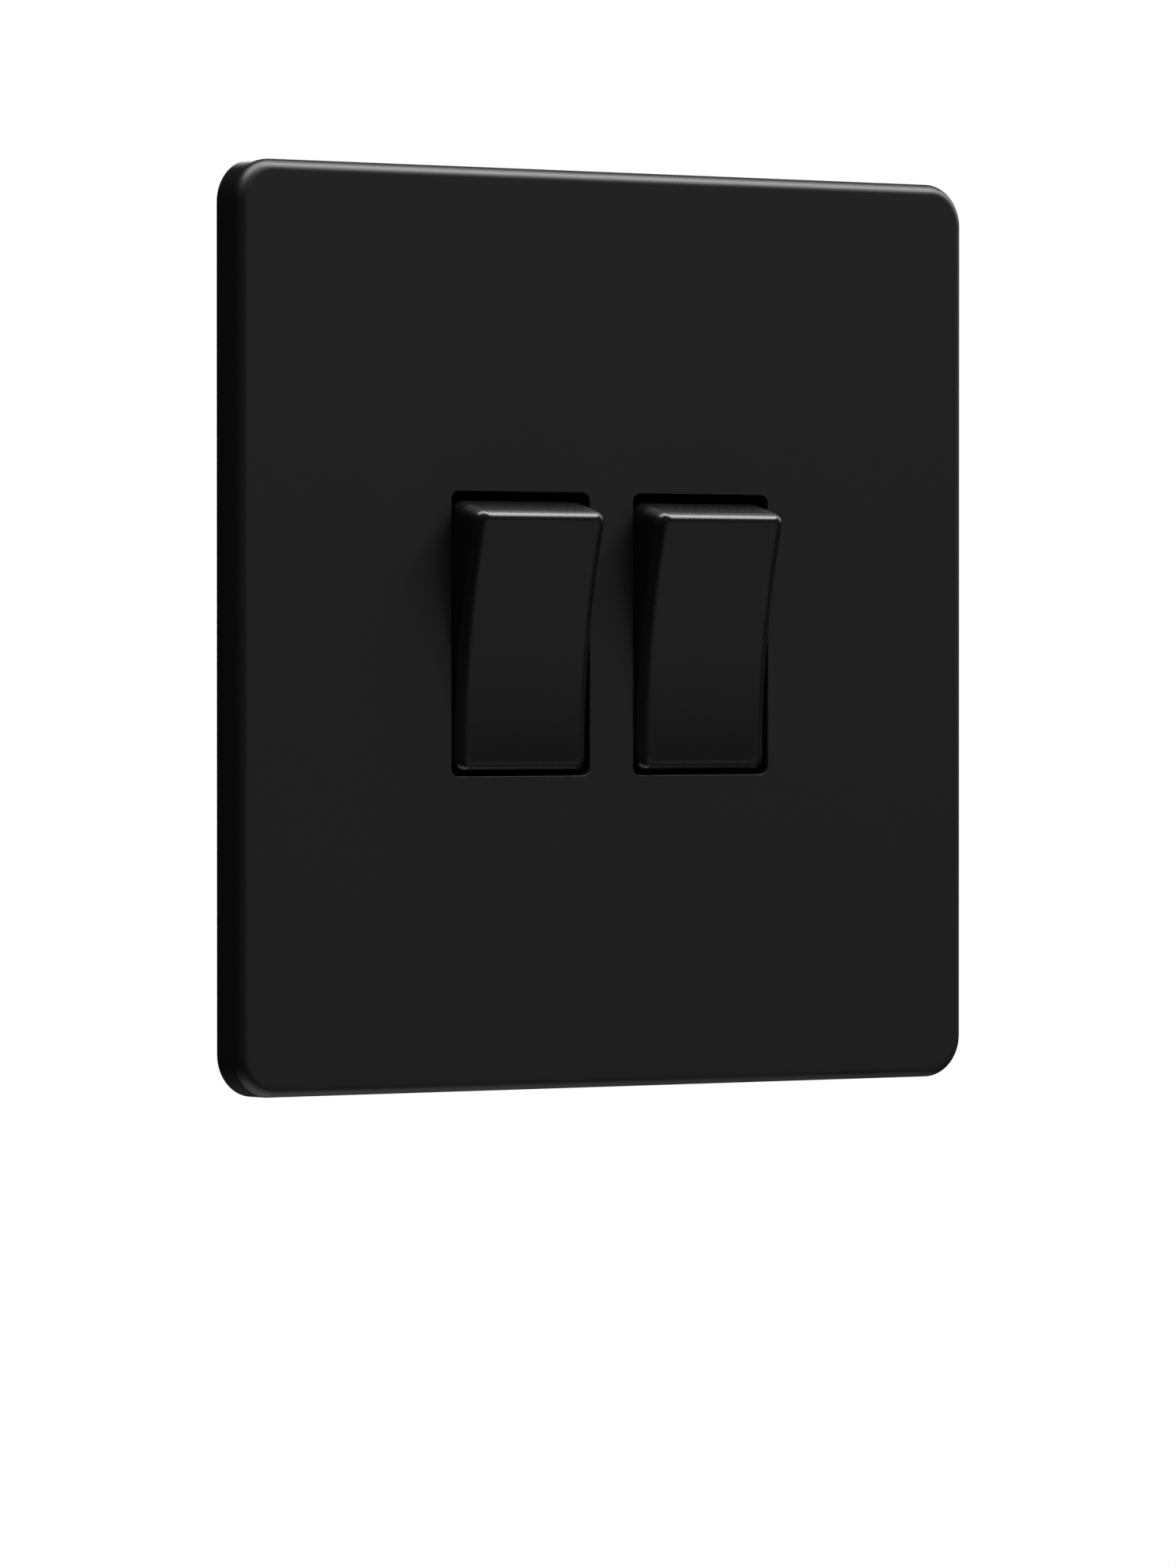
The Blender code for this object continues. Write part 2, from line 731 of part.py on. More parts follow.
def make_gang(shop, side, look):
    x = gang_x(side)
    rocker_axis = shop.empty(f"rocker_axis_{side}", (x, pivot_y(), PIVOT_HEIGHT), ROCKER_TILT)
    make_rocker(shop, side, look["rocker"], rocker_axis)
    make_plunger(shop, side, look["plunger"], rocker_axis)
    make_spring(shop, side, look["spring"], rocker_axis)
    contact_axis = shop.empty(f"contact_axis_{side}", (x, CONTACT_PIVOT, PIVOT_HEIGHT), -CONTACT_TILT)
    make_contact(shop, side, look["contact"], contact_axis)
    make_housing(shop, side, look["housing"])
    make_cover(shop, side, look["cover"])
    names = ("common", "one", "two")
    for name, place in zip(names, terminal_places()):
        make_terminal(shop, f"terminal_{name}_{side}", side, place, look["brass"])
        direction, end = place
        at = (x + direction * TERMINAL_X, 0, PIVOT_HEIGHT + end * TERMINAL_Z)
        head = (STRIP_BACK + 0.3, STRIP_BACK + 0.3 + SCREW_HEAD_HEIGHT)
        make_screw(
            shop,
            f"terminal_screw_{name}_{side}",
            at,
            look["steel"],
            SCREW_RADIUS,
            head,
            TUNNEL_DEPTH + 0.8,
            SCREW_HEAD_RADIUS,
        )


def make_looks():
    return {
        "plate": make_material("black_coated_steel", (0.013, 0.013, 0.013), 0.45),
        "rocker": make_material("black_moulding", (0.012, 0.012, 0.012), 0.35),
        "housing": make_material("black_housing_moulding", (0.02, 0.02, 0.021), 0.5),
        "cover": make_material("grey_moulding", (0.55, 0.56, 0.55), 0.5),
        "carrier": make_material("dark_moulding", (0.05, 0.05, 0.05), 0.6),
        "plunger": make_material("natural_nylon", (0.75, 0.73, 0.66), 0.5),
        "spring": make_material("spring_steel", (0.5, 0.5, 0.5), 0.3, 1.0),
        "contact": make_material("contact_copper", (0.72, 0.38, 0.2), 0.3, 1.0),
        "brass": make_material("terminal_brass", (0.72, 0.52, 0.2), 0.35, 1.0),
        "steel": make_material("zinc_plated_steel", (0.6, 0.61, 0.62), 0.35, 1.0),
        "gasket": make_material("grey_foam", (0.08, 0.08, 0.08), 0.9),
    }


def main():
    clear_scene()
    shop = Shop()
    look = make_looks()
    make_plate(shop, look["plate"])
    make_clip_frame(shop, look["carrier"])
    make_yoke(shop, look["steel"])
    make_gasket(shop, look["gasket"])
    make_earth_terminal(shop, look["brass"])
    for side in SIDES:
        make_gang(shop, side, look)
        at = (SIDES[side] * FIXING_CENTRES / 2, 0, 0)
        make_screw(
            shop,
            f"fixing_screw_{side}",
            at,
            look["steel"],
            FIXING_SHANK,
            FIXING_HEAD,
            FIXING_END,
            FIXING_HEAD_RADIUS,
        )
    head = (EARTH_BACK + 0.3, EARTH_BACK + 0.3 + SCREW_HEAD_HEIGHT)
    make_screw(
        shop,
        "earth_screw",
        EARTH_AT,
        look["steel"],
        SCREW_RADIUS,
        head,
        EARTH_TUNNEL + 0.8,
        SCREW_HEAD_RADIUS,
    )


main()
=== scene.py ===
"""Looks for the two-gang rocker wall switch: finer pieces, finishes, stage, lights and camera.

Y = 0 is the wall, -Y faces the user, X runs to the right and Z is up. Shapes are worked out in
millimetres and stored in metres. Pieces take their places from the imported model.
"""

import json
import math

import bmesh
import bpy
from mathutils import Euler, Matrix, Vector


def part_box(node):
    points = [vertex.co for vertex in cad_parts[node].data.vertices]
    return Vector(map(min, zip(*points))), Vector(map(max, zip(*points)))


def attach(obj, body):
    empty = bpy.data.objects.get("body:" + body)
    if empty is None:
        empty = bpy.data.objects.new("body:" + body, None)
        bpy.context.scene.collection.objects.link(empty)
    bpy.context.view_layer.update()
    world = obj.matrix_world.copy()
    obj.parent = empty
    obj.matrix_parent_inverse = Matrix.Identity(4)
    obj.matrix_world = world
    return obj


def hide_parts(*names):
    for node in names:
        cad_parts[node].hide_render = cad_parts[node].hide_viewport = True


MM = 0.001

# Front plate, in millimetres
PLATE_CORNER = 4.0
PLATE_EDGE = 1.1
PLATE_WALL = 1.2
PLATE_SKIN = 1.0
OPENING_WIDTH = 16.2
OPENING_HEIGHT = 26.55
OPENING_CORNER = 0.8
OPENING_EDGE = 0.03
OPENING_CORNER_STEPS = 8
PLATE_ROOT = 0.4
PLATE_RIM = 0.15
EDGE_GUARD = 0.05  # a last straight ring, so that the wall's shading stays flat
ROOT_STEPS = 4
NOTCH_WIDTH = 9.0
NOTCH_DEPTH = 1.0
NOTCH_CORNER = 0.3
CORNER_STEPS = 20
EDGE_STEPS = 10

# Rocker, in millimetres, in the frame of its pivot
ROCKER_FORWARD = 5.6
ROCKER_SKIRT = 0.8
ROCKER_LENGTH = 24.2
ROCKER_BASE_LENGTH = 25.6
ROCKER_WIDTH = 15.2
ROCKER_BASE_WIDTH = 15.6
ROCKER_END_DRAFT = 8.5
ROCKER_KNEE = 3.2
ROCKER_SAG = 0.9
ROCKER_FILLET = 0.85
ROCKER_SIDE_FILLET = 1.3
ROCKER_CORNER = 1.1
ROCKER_WALL = 1.4
ROCKER_TILT = 7.75
ROCKER_ROOF = -3.3
ROCKER_ROOF_TAPER = 0.5
ROCKER_INSIDE_CORNER = 0.5
ROCKER_CORNER_GROWTH = 0.2  # how much rounder the corners are at the skirt
ROCKER_CORNER_CLOSING = 0.6  # how fast the corners tighten as the fillet turns inwards
ROCKER_FILLET_TURN = 84.0
ROCKER_CORNER_STEPS = 8
ROCKER_SIDE_STEPS = 40
ROCKER_WALL_STEPS = 12
ROCKER_FITTING_EASE = 0.2
TUBE_FLOOR = 0.7
TUBE_ROOT = 0.1
TUBE_RADIUS = 2.9
TUBE_BORE = 1.85
TUBE_REACH = 5.4
TRUNNION_RADIUS = 1.2
TRUNNION_REACH = 8.9
SIDES = ("left", "right")

# Switch module, in millimetres: half sizes across and up, and depths behind the wall
MODULE_WIDTH = 9.9
MODULE_HEIGHT = 16.2
MODULE_FRONT = -2.3
MODULE_BACK = 12.8
MODULE_WALL = 1.5
MODULE_END_WALL = 1.1
MODULE_CORNER = 0.8
COLLAR_HEIGHT = 14.9
COLLAR_BACK = 0.5
FLANGE_HEIGHT = 18.4
FLANGE_DEPTHS = (-0.3, 1.2)
BODY_FRONT = 0.8
WEB_DEPTHS = (2.8, 4.0)
HOOK_WIDTH = 3.0
HOOK_DEPTHS = (-2.2, -1.6)
HOOK_REACH = 15.6
HOOK_ROOT = 0.5
CAVITY_WIDTH = 8.1
CAVITY_HEIGHT = 13.375
CAVITY_CORNER = 0.5
SLOT_CLEARANCE = 0.4
EAR_CLEARANCE = 0.3
PIVOT_DEPTH = -0.1
RUNNING_GAP = 0.08
GROOVE_FRONT = 2.4
GROOVE_DEPTH = 0.3
GROOVE_HALF = 0.5
GROOVE_PITCH = 4.2
GROOVES_EACH_WAY = 3
MODULE_EASE = 0.12

# Cutters, in millimetres: how far they reach past the surface that they open
OVERSHOOT = 1.0
WEB_OVERSHOOT = 0.8
MOUTH_OVERSHOOT = 0.3
FAR_FRONT = -5.0
FAR_BACK = 20.0

# Rear cover, in millimetres
COVER_FRONT = 13.0
COVER_BACK = 15.0
COVER_PANEL = 0.5
COVER_BORDER = 1.2
COVER_RIB_LEVELS = (-5.4, -1.8, 1.8, 5.4)
COVER_RIB_HALF = 0.4
COVER_SPINE_HALF = 0.5
COVER_RIB_SINK = 0.1
SCREW_COLLAR = 3.75
BLIND_DISC = 2.2
BLIND_DEPTH = 0.25
COVER_ROOT = 0.3
COVER_CORNER = 0.7
COVER_HOLE_FLARE = 0.35
LATCH_DEPTH = 0.5
LATCH_HALF = 2.2
LATCH_BACK = 14.0
COVER_EASE = 0.1

# Terminals, in millimetres: across and up from the middle of a module, and which corners they take
TERMINAL_X = 4.9
TERMINAL_Z = 12.0
TERMINALS = {"common": (-1, 1), "one": (1, 1), "two": (1, -1)}
TUNNEL_DEPTH = 8.2
TUNNEL_RADIUS = 1.7
ENTRY_CLEARANCE = 0.4

# Screws, in millimetres: radii, depths of the seat, the head's top and the shank's end, and the pitch
TERMINAL_SCREW = {"shank": 1.5, "head": 2.4, "seat": 12.9, "top": 14.4, "end": 9.0, "pitch": 0.5}
FIXING_SCREW = {"shank": 1.7, "head": 3.3, "seat": -1.6, "top": -2.45, "end": 13.4, "pitch": 0.6}
EARTH_SCREW = {"shank": 1.5, "head": 2.4, "seat": 7.3, "top": 8.8, "end": 4.0, "pitch": 0.5}
SCREW_SLOT = 0.8
SCREW_BORE = 1.62
HEAD_DOME = 0.42  # the share of a head's height that is rounded
HEAD_FLAT = 0.7  # the flat top's share of a head's radius
HEAD_STEPS = 6
HEAD_SIDES = 56
SEAT_SHARE = 0.96
SEAT_EASE = 0.08
SCREW_EASE = 0.05
THREAD_DEPTH = 0.28
THREAD_SIDES = 28
THREAD_ROWS = 6
TIP_LENGTH = 0.7
TIP_SHARE = 0.55

# Clip frame, in millimetres
CLIP_HALF = 41.4
CLIP_CORNER = 2.4
CLIP_SKIN = 0.8
CLIP_LIP = 1.3
CLIP_INSIDE_CORNER = 1.6
LUG_ROOT = 0.5
LUG_HALF = 5.0
LUG_DEPTH = 0.6
WINDOW_GAP = 1.0
FIXING_X = 30.15
HEAD_HOLE = 4.2
HEAD_HOLE_FLARE = 0.3
POCKET_PITCH = 26.0
POCKET_HALF = 12.2
POCKET_HEIGHTS = (18.4, 38.6)
POCKET_DEPTH = 0.35
POCKET_CORNER = 1.2
CLIP_EASE = 0.1

# Earth terminal, in millimetres
EARTH_HALF = 3.6
EARTH_FRONT = -0.4
EARTH_BACK = 7.0
EARTH_CORNER = 0.5
EARTH_TUNNEL = 3.4
EARTH_TUNNEL_FLARE = 0.4
EARTH_BORE_FLARE = 0.3
EARTH_EASE = 0.15

# How far each slot is turned, in degrees: the first screw's, and what each further one adds
FIXING_TURN, FIXING_TURN_STEP = 8, 17
TERMINAL_TURN, TERMINAL_TURN_STEP, MODULE_TURN_STEP = 24, 61, 37
EARTH_TURN = 52

# Shading, in degrees: the angles from which an edge is creased or eased
CREASE = 40.0
PLATE_CREASE = 15.0
EASE_FROM = 38.0

# Camera: where it stands from the middle of the plate's front, and where it looks
CAMERA_DISTANCE = 0.914
CAMERA_AZIMUTH = -37.70
CAMERA_DROP = 0.0045
CAMERA_PAN = 0.139
CAMERA_TILT = -0.627
CAMERA_LENS = 223.4
CAMERA_SENSOR = 36.0

FLOOR_HALF = 0.5
FLOOR_HEIGHT = -0.75

# Soft boxes: name, azimuth, elevation, width and height in metres, brightness
WORLD_FILL = 0.02
LIGHT_DISTANCE = 1.3
LIGHTS = (
    ("overhead", 3.0, 75.5, 1.4, 0.9, 8.3),
    ("key", 58.0, 45.0, 0.6, 0.7, 11.0),
    ("side", 92.0, 22.0, 0.4, 0.6, 4.5),
    ("low_fill", 35.0, -20.0, 1.0, 0.7, 0.25),
    ("rear_soft", 154.0, 13.0, 0.36, 0.4, 20.0),
)


# ---------------------------------------------------------------- helpers


def rounded_rectangle(half_x, half_z, radius, corner_steps, side_steps=1):
    """Points (x, z) anticlockwise from the lower right corner's arc, seen with x right and z up."""
    points = []
    corners = [(1, -1, -90), (1, 1, 0), (-1, 1, 90), (-1, -1, 180)]
    for index, (sx, sz, start) in enumerate(corners):
        centre_x = sx * (half_x - radius)
        centre_z = sz * (half_z - radius)
        for step in range(corner_steps + 1):
            angle = math.radians(start + 90.0 * step / corner_steps)
            points.append((centre_x + radius * math.cos(angle), centre_z + radius * math.sin(angle)))
        if index in (0, 2):
            top = (half_z - radius) * (1 if index == 0 else -1)
            for step in range(1, side_steps):
                share = step / side_steps
                points.append((sx * half_x, -top + 2 * top * share))
    return points


def add_loop(bm, points, place):
    """One closed ring of vertices; place turns (x, z) into a point in millimetres."""
    return [bm.verts.new(Vector(place(x, z)) * MM) for x, z in points]


def bridge(bm, first, second):
    """Quads between two rings of the same count."""
    count = len(first)
    for i in range(count):
        j = (i + 1) % count
        bm.faces.new((first[i], first[j], second[j], second[i]))


def bridge_all(bm, rings):
    for first, second in zip(rings, rings[1:]):
        bridge(bm, first, second)


def ring_edges(bm, ring):
    bm.edges.ensure_lookup_table()
    found = []
    for i, vertex in enumerate(ring):
        edge = bm.edges.get((vertex, ring[(i + 1) % len(ring)]))
        found.append(edge or bm.edges.new((vertex, ring[(i + 1) % len(ring)])))
    return found


def fill_between(bm, rings):
    """Flat faces inside the first ring and outside the others."""
    edges = [edge for ring in rings for edge in ring_edges(bm, ring)]
    filled = bmesh.ops.triangle_fill(bm, use_beauty=True, use_dissolve=False, edges=edges)["geom"]
    rims = set(edges)
    inner = [item for item in filled if isinstance(item, bmesh.types.BMEdge) and item not in rims]
    bmesh.ops.dissolve_limit(bm, angle_limit=0.02, verts=[], edges=inner)


def block(low, high, corner=0.0, steps=6):
    """A block between two corners in millimetres, with round corners seen from the front."""
    bm = bmesh.new()
    half_x, half_z = (high[0] - low[0]) / 2, (high[2] - low[2]) / 2
    middle_x, middle_z = (high[0] + low[0]) / 2, (high[2] + low[2]) / 2
    points = [(half_x, -half_z), (half_x, half_z), (-half_x, half_z), (-half_x, -half_z)]
    if corner:
        points = rounded_rectangle(half_x, half_z, corner, steps)
    rings = []
    for y in (low[1], high[1]):
        rings.append(add_loop(bm, points, lambda x, z: (middle_x + x, y, middle_z + z)))
    bridge(bm, *rings)
    for ring in rings:
        bm.faces.new(ring)
    return bm


def lathe(profile, axis="Y", sides=40, at=(0, 0, 0), bm=None):
    """A turned shape: profile points are (radius, distance along the axis) in millimetres."""
    bm = bm or bmesh.new()
    rings = []
    for radius, along in profile:
        ring = []
        for i in range(sides if radius > 0 else 1):
            angle = 2 * math.pi * i / sides
            across, up = radius * math.cos(angle), radius * math.sin(angle)
            turned = {"X": (along, across, up), "Y": (across, along, up), "Z": (across, up, along)}
            ring.append(bm.verts.new((Vector(at) + Vector(turned[axis])) * MM))
        rings.append(ring)
    for first, second in zip(rings, rings[1:]):
        for i in range(max(len(first), len(second))):
            j = i + 1
            corners = (first[i % len(first)], first[j % len(first)])
            corners += (second[j % len(second)], second[i % len(second)])
            bm.faces.new(list(dict.fromkeys(corners)))
    return bm


def rod(radius, start, end, axis="Y", at=(0, 0, 0)):
    return lathe([(0.0, start), (radius, start), (radius, end), (0.0, end)], axis, at=at)


def settle(piece):
    """Applies the piece's modifiers."""
    graph = bpy.context.evaluated_depsgraph_get()
    mesh = bpy.data.meshes.new_from_object(piece.evaluated_get(graph))
    piece.modifiers.clear()
    piece.data = mesh


def bare_object(name, bm):
    """An object without a finish from a mesh in the making."""
    bmesh.ops.recalc_face_normals(bm, faces=bm.faces)
    mesh = bpy.data.meshes.new(name)
    bm.to_mesh(mesh)
    bm.free()
    item = bpy.data.objects.new(name, mesh)
    bpy.context.scene.collection.objects.link(item)
    return item


def shape(name, bm, steps, soften=0.0):
    """One mesh from a blank: each step joins or cuts a shape, then the edges are eased."""
    piece = bare_object(name, bm)
    tools = []
    for operation, tool_mesh in steps:
        tool = bare_object("tool", tool_mesh)
        modifier = piece.modifiers.new("tool", "BOOLEAN")
        modifier.operation = operation
        modifier.solver = "EXACT"
        modifier.object = tool
        tools.append(tool)
    if soften:
        bevel = piece.modifiers.new("ease", "BEVEL")
        bevel.width = soften * MM
        bevel.segments = 2
        bevel.limit_method = "ANGLE"
        bevel.angle_limit = math.radians(EASE_FROM)
    settle(piece)
    for tool in tools:
        bpy.data.objects.remove(tool)
    return piece


def outfit(piece, material, body, slot, *nodes, crease=CREASE):
    """Smooth shading, a finish, and the body and CAD nodes that the piece stands for."""
    piece.data.shade_smooth()
    piece.data.set_sharp_from_angle(angle=math.radians(crease))
    piece.data.materials.clear()
    piece.data.materials.append(material)
    weigh_normals(piece)
    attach(piece, body)
    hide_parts(*nodes)


def weigh_normals(piece):
    """Flat faces stay flat in shading and the fillets carry the curve."""
    modifier = piece.modifiers.new("normals", "WEIGHTED_NORMAL")
    modifier.mode = "FACE_AREA"
    modifier.weight = 50
    modifier.keep_sharp = True


# ---------------------------------------------------------------- materials


def new_material(name):
    material = bpy.data.materials.new(name)
    material.use_nodes = True
    shader = material.node_tree.nodes["Principled BSDF"]
    return material, material.node_tree, shader


def link(tree, source, target):
    tree.links.new(source, target)


def object_coordinates(tree):
    node = tree.nodes.get("coordinates") or tree.nodes.new("ShaderNodeTexCoord")
    node.name = "coordinates"
    return node.outputs["Object"]


def stretched(tree, x, y, z):
    """Object coordinates squeezed along each axis, for a grain that runs one way."""
    node = tree.nodes.new("ShaderNodeMapping")
    node.inputs["Scale"].default_value = (x, y, z)
    link(tree, object_coordinates(tree), node.inputs["Vector"])
    return node.outputs["Vector"]


def noise(tree, scale, detail=3.0, roughness=0.5, coordinates=None):
    node = tree.nodes.new("ShaderNodeTexNoise")
    node.inputs["Scale"].default_value = scale
    node.inputs["Detail"].default_value = detail
    node.inputs["Roughness"].default_value = roughness
    link(tree, coordinates or object_coordinates(tree), node.inputs["Vector"])
    return node.outputs["Fac"]


def ramp(tree, value, stops):
    """A colour ramp from (place, grey or colour) stops."""
    node = tree.nodes.new("ShaderNodeValToRGB")
    elements = node.color_ramp.elements
    while len(elements) < len(stops):
        elements.new(0.5)
    for element, (place, colour) in zip(elements, stops):
        element.position = place
        element.color = colour if len(colour) == 4 else (*colour, 1.0)
    link(tree, value, node.inputs["Fac"])
    return node.outputs["Color"]


def grey(value):
    return (value, value, value)


def spread(tree, value, low, high):
    """Maps 0..1 to low..high."""
    node = tree.nodes.new("ShaderNodeMapRange")
    node.inputs["To Min"].default_value = low
    node.inputs["To Max"].default_value = high
    link(tree, value, node.inputs["Value"])
    return node.outputs["Result"]


def bump(tree, shader, height, strength, distance, below=None):
    """Relief from a height, over another relief if one is given; distance is in metres."""
    node = tree.nodes.new("ShaderNodeBump")
    node.inputs["Strength"].default_value = strength
    node.inputs["Distance"].default_value = distance
    link(tree, height, node.inputs["Height"])
    if below is not None:
        link(tree, below, node.inputs["Normal"])
    link(tree, node.outputs["Normal"], shader.inputs["Normal"])
    return node.outputs["Normal"]


def coated_metal(name, tone, rough):
    """Fine powder coat: a very low orange peel with a dust-fine grain over it."""
    material, tree, shader = new_material(name)
    drift = noise(tree, scale=60.0, detail=2.0)
    colour = ramp(tree, drift, [(0.3, grey(tone * 0.94)), (0.7, grey(tone * 1.06))])
    link(tree, colour, shader.inputs["Base Color"])
    grain = noise(tree, scale=9000.0, detail=2.0)
    link(tree, spread(tree, grain, rough - 0.03, rough + 0.03), shader.inputs["Roughness"])
    peel = noise(tree, scale=1400.0, detail=2.0)
    low = bump(tree, shader, peel, strength=0.25, distance=0.00002)
    bump(tree, shader, grain, strength=0.25, distance=0.00001, below=low)
    shader.inputs["Specular IOR Level"].default_value = 0.5
    return material


def moulded_plastic(name, tone, rough):
    """Fine spark-eroded moulding texture on a nearly even black plastic."""
    material, tree, shader = new_material(name)
    drift = noise(tree, scale=90.0, detail=2.0)
    colour = ramp(tree, drift, [(0.3, grey(tone * 0.95)), (0.7, grey(tone * 1.05))])
    link(tree, colour, shader.inputs["Base Color"])
    grain = noise(tree, scale=7000.0, detail=2.0)
    link(tree, spread(tree, grain, rough - 0.03, rough + 0.03), shader.inputs["Roughness"])
    bump(tree, shader, grain, strength=0.2, distance=0.00001)
    return material


def tinted(colour, share):
    return tuple(min(1.0, channel * share) for channel in colour)


def moulding(name, colour, rough, texture):
    """Moulded plastic: flow marks, a fine tool texture and scuffs where it has been handled."""
    material, tree, shader = new_material(name)
    along = stretched(tree, 1.0, 1.0, 0.25)
    flow = noise(tree, scale=140.0, detail=4.0, roughness=0.6, coordinates=along)
    tone = ramp(tree, flow, [(0.25, tinted(colour, 0.82)), (0.75, tinted(colour, 1.16))])
    link(tree, tone, shader.inputs["Base Color"])
    level = stretched(tree, 1.0, 0.5, 3.0)
    scuffs = noise(tree, scale=700.0, detail=6.0, roughness=0.75, coordinates=level)
    link(tree, spread(tree, scuffs, rough - 0.12, rough + 0.14), shader.inputs["Roughness"])
    grain = noise(tree, scale=6500.0, detail=2.0)
    low = bump(tree, shader, flow, strength=0.3, distance=0.00004)
    bump(tree, shader, grain, strength=texture, distance=0.00003, below=low)
    return material


def worked_metal(name, colour, rough, grain_stretch, stain):
    """Plated or drawn metal: a directional grain, cloudy tarnish and small dull patches."""
    material, tree, shader = new_material(name)
    shader.inputs["Metallic"].default_value = 1.0
    cloud = noise(tree, scale=420.0, detail=5.0, roughness=0.65)
    tone = ramp(tree, cloud, [(0.3, tinted(colour, stain)), (0.62, colour), (0.9, tinted(colour, 1.1))])
    link(tree, tone, shader.inputs["Base Color"])
    drawn = stretched(tree, *grain_stretch)
    grain = noise(tree, scale=2600.0, detail=3.0, roughness=0.6, coordinates=drawn)
    wear = tree.nodes.new("ShaderNodeMath")
    wear.operation = "MULTIPLY"
    link(tree, grain, wear.inputs[0])
    link(tree, cloud, wear.inputs[1])
    dullness = spread(tree, wear.outputs["Value"], rough - 0.1, rough + 0.35)
    link(tree, dullness, shader.inputs["Roughness"])
    low = bump(tree, shader, grain, strength=0.35, distance=0.00002)
    bump(tree, shader, cloud, strength=0.2, distance=0.00005, below=low)
    return material


def foam_rubber(name):
    """Closed-cell foam: round cells of about half a millimetre sunk as pits, with painted shade
    darkening each pit.
    """
    material, tree, shader = new_material(name)
    cells = tree.nodes.new("ShaderNodeTexVoronoi")
    cells.inputs["Scale"].default_value = 1900.0
    link(tree, object_coordinates(tree), cells.inputs["Vector"])
    pit_relief_and_shade = cells.outputs["Distance"]
    # Painted shade: the colour darkens towards each cell's middle, where the bump sinks the pit deepest.
    tone = ramp(tree, pit_relief_and_shade, [(0.05, grey(0.02)), (0.6, grey(0.075))])
    link(tree, tone, shader.inputs["Base Color"])
    link(tree, spread(tree, noise(tree, scale=900.0), 0.8, 0.95), shader.inputs["Roughness"])
    low = bump(tree, shader, pit_relief_and_shade, strength=0.6, distance=0.0001)
    bump(tree, shader, noise(tree, scale=260.0), strength=0.4, distance=0.0002, below=low)
    return material


# ---------------------------------------------------------------- plate and rockers


def plate_centre():
    low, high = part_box("face_plate")
    return (low + high) / 2


def opening_centre(side):
    low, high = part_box(f"module_housing_{side}")
    return (low.x + high.x) / 2, (low.z + high.z) / 2


def make_plate(material):
    low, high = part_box("face_plate")
    half = (high.x - low.x) / 2 / MM
    front = low.y / MM
    bm = bmesh.new()
    rings = []

    def ring(inset, y):
        points = rounded_rectangle(half - inset, half - inset, PLATE_CORNER - inset, CORNER_STEPS)
        rings.append(add_loop(bm, points, lambda x, z: (x, y, z)))

    back = front + PLATE_SKIN
    for step in range(ROOT_STEPS + 1):
        angle = math.radians(90.0 * step / ROOT_STEPS)
        inset = PLATE_WALL + PLATE_ROOT * (1 - math.sin(angle))
        ring(inset, back + PLATE_ROOT * (1 - math.cos(angle)))
    ring(PLATE_WALL, -PLATE_RIM)
    ring(PLATE_WALL - PLATE_RIM, 0.0)
    ring(PLATE_RIM, 0.0)
    ring(0.0, -PLATE_RIM)
    ring(0.0, front + PLATE_EDGE + EDGE_GUARD)
    for step in range(EDGE_STEPS + 1):
        angle = math.radians(90.0 * step / EDGE_STEPS)
        ring(PLATE_EDGE * (1 - math.cos(angle)), front + PLATE_EDGE * (1 - math.sin(angle)))
    bridge_all(bm, rings)
    back_rings, front_rings = [rings[0]], [rings[-1]]
    for side in SIDES:
        opening = add_opening(bm, side, front, back)
        front_rings.append(opening[0])
        back_rings.append(opening[-1])
    fill_between(bm, front_rings)
    fill_between(bm, back_rings)
    notch = block(
        (-NOTCH_WIDTH / 2, -NOTCH_DEPTH, -half - OVERSHOOT),
        (NOTCH_WIDTH / 2, OVERSHOOT, PLATE_WALL + OVERSHOOT - half),
        NOTCH_CORNER,
    )
    plate = shape("front_plate", bm, [("DIFFERENCE", notch)])
    outfit(plate, material, "plate", "plate", "face_plate", crease=PLATE_CREASE)


def add_opening(bm, side, front, back):
    """The rings of one opening's wall, from its just broken front edge to the back of the skin."""
    centre_x, centre_z = (value / MM for value in opening_centre(side))
    rings = []

    def ring(grow, y):
        half_x, half_z = OPENING_WIDTH / 2 + grow, OPENING_HEIGHT / 2 + grow
        points = rounded_rectangle(half_x, half_z, OPENING_CORNER + grow, OPENING_CORNER_STEPS)
        rings.append(add_loop(bm, points, lambda x, z: (centre_x + x, y, centre_z + z)))

    for step in range(ROOT_STEPS + 1):
        angle = math.radians(90.0 * step / ROOT_STEPS)
        ring(OPENING_EDGE * (1 - math.sin(angle)), front + OPENING_EDGE * (1 - math.cos(angle)))
    ring(0.0, back)
    bridge_all(bm, rings)
    return rings


def rocker_front(z):
    """How far forward of the pivot the hollow front lies at a height."""
    share = z / (ROCKER_LENGTH / 2)
    return -ROCKER_FORWARD + ROCKER_SAG * max(0.0, 1.0 - share * share)


def rocker_end(depth):
    """Half the rocker's length at a depth behind its front: drafted to a knee, then nearly straight."""
    half = ROCKER_LENGTH / 2
    knee = half + ROCKER_KNEE * math.tan(math.radians(ROCKER_END_DRAFT))
    if depth < ROCKER_KNEE:
        return half + (knee - half) * depth / ROCKER_KNEE
    share = (depth - ROCKER_KNEE) / (ROCKER_FORWARD + ROCKER_SKIRT - ROCKER_KNEE)
    return knee + (ROCKER_BASE_LENGTH / 2 - knee) * share


def rocker_side(depth):
    """Half the rocker's width at a depth behind its front."""
    growth = (ROCKER_BASE_WIDTH - ROCKER_WIDTH) / 2
    return ROCKER_WIDTH / 2 + growth * depth / (ROCKER_FORWARD + ROCKER_SKIRT)


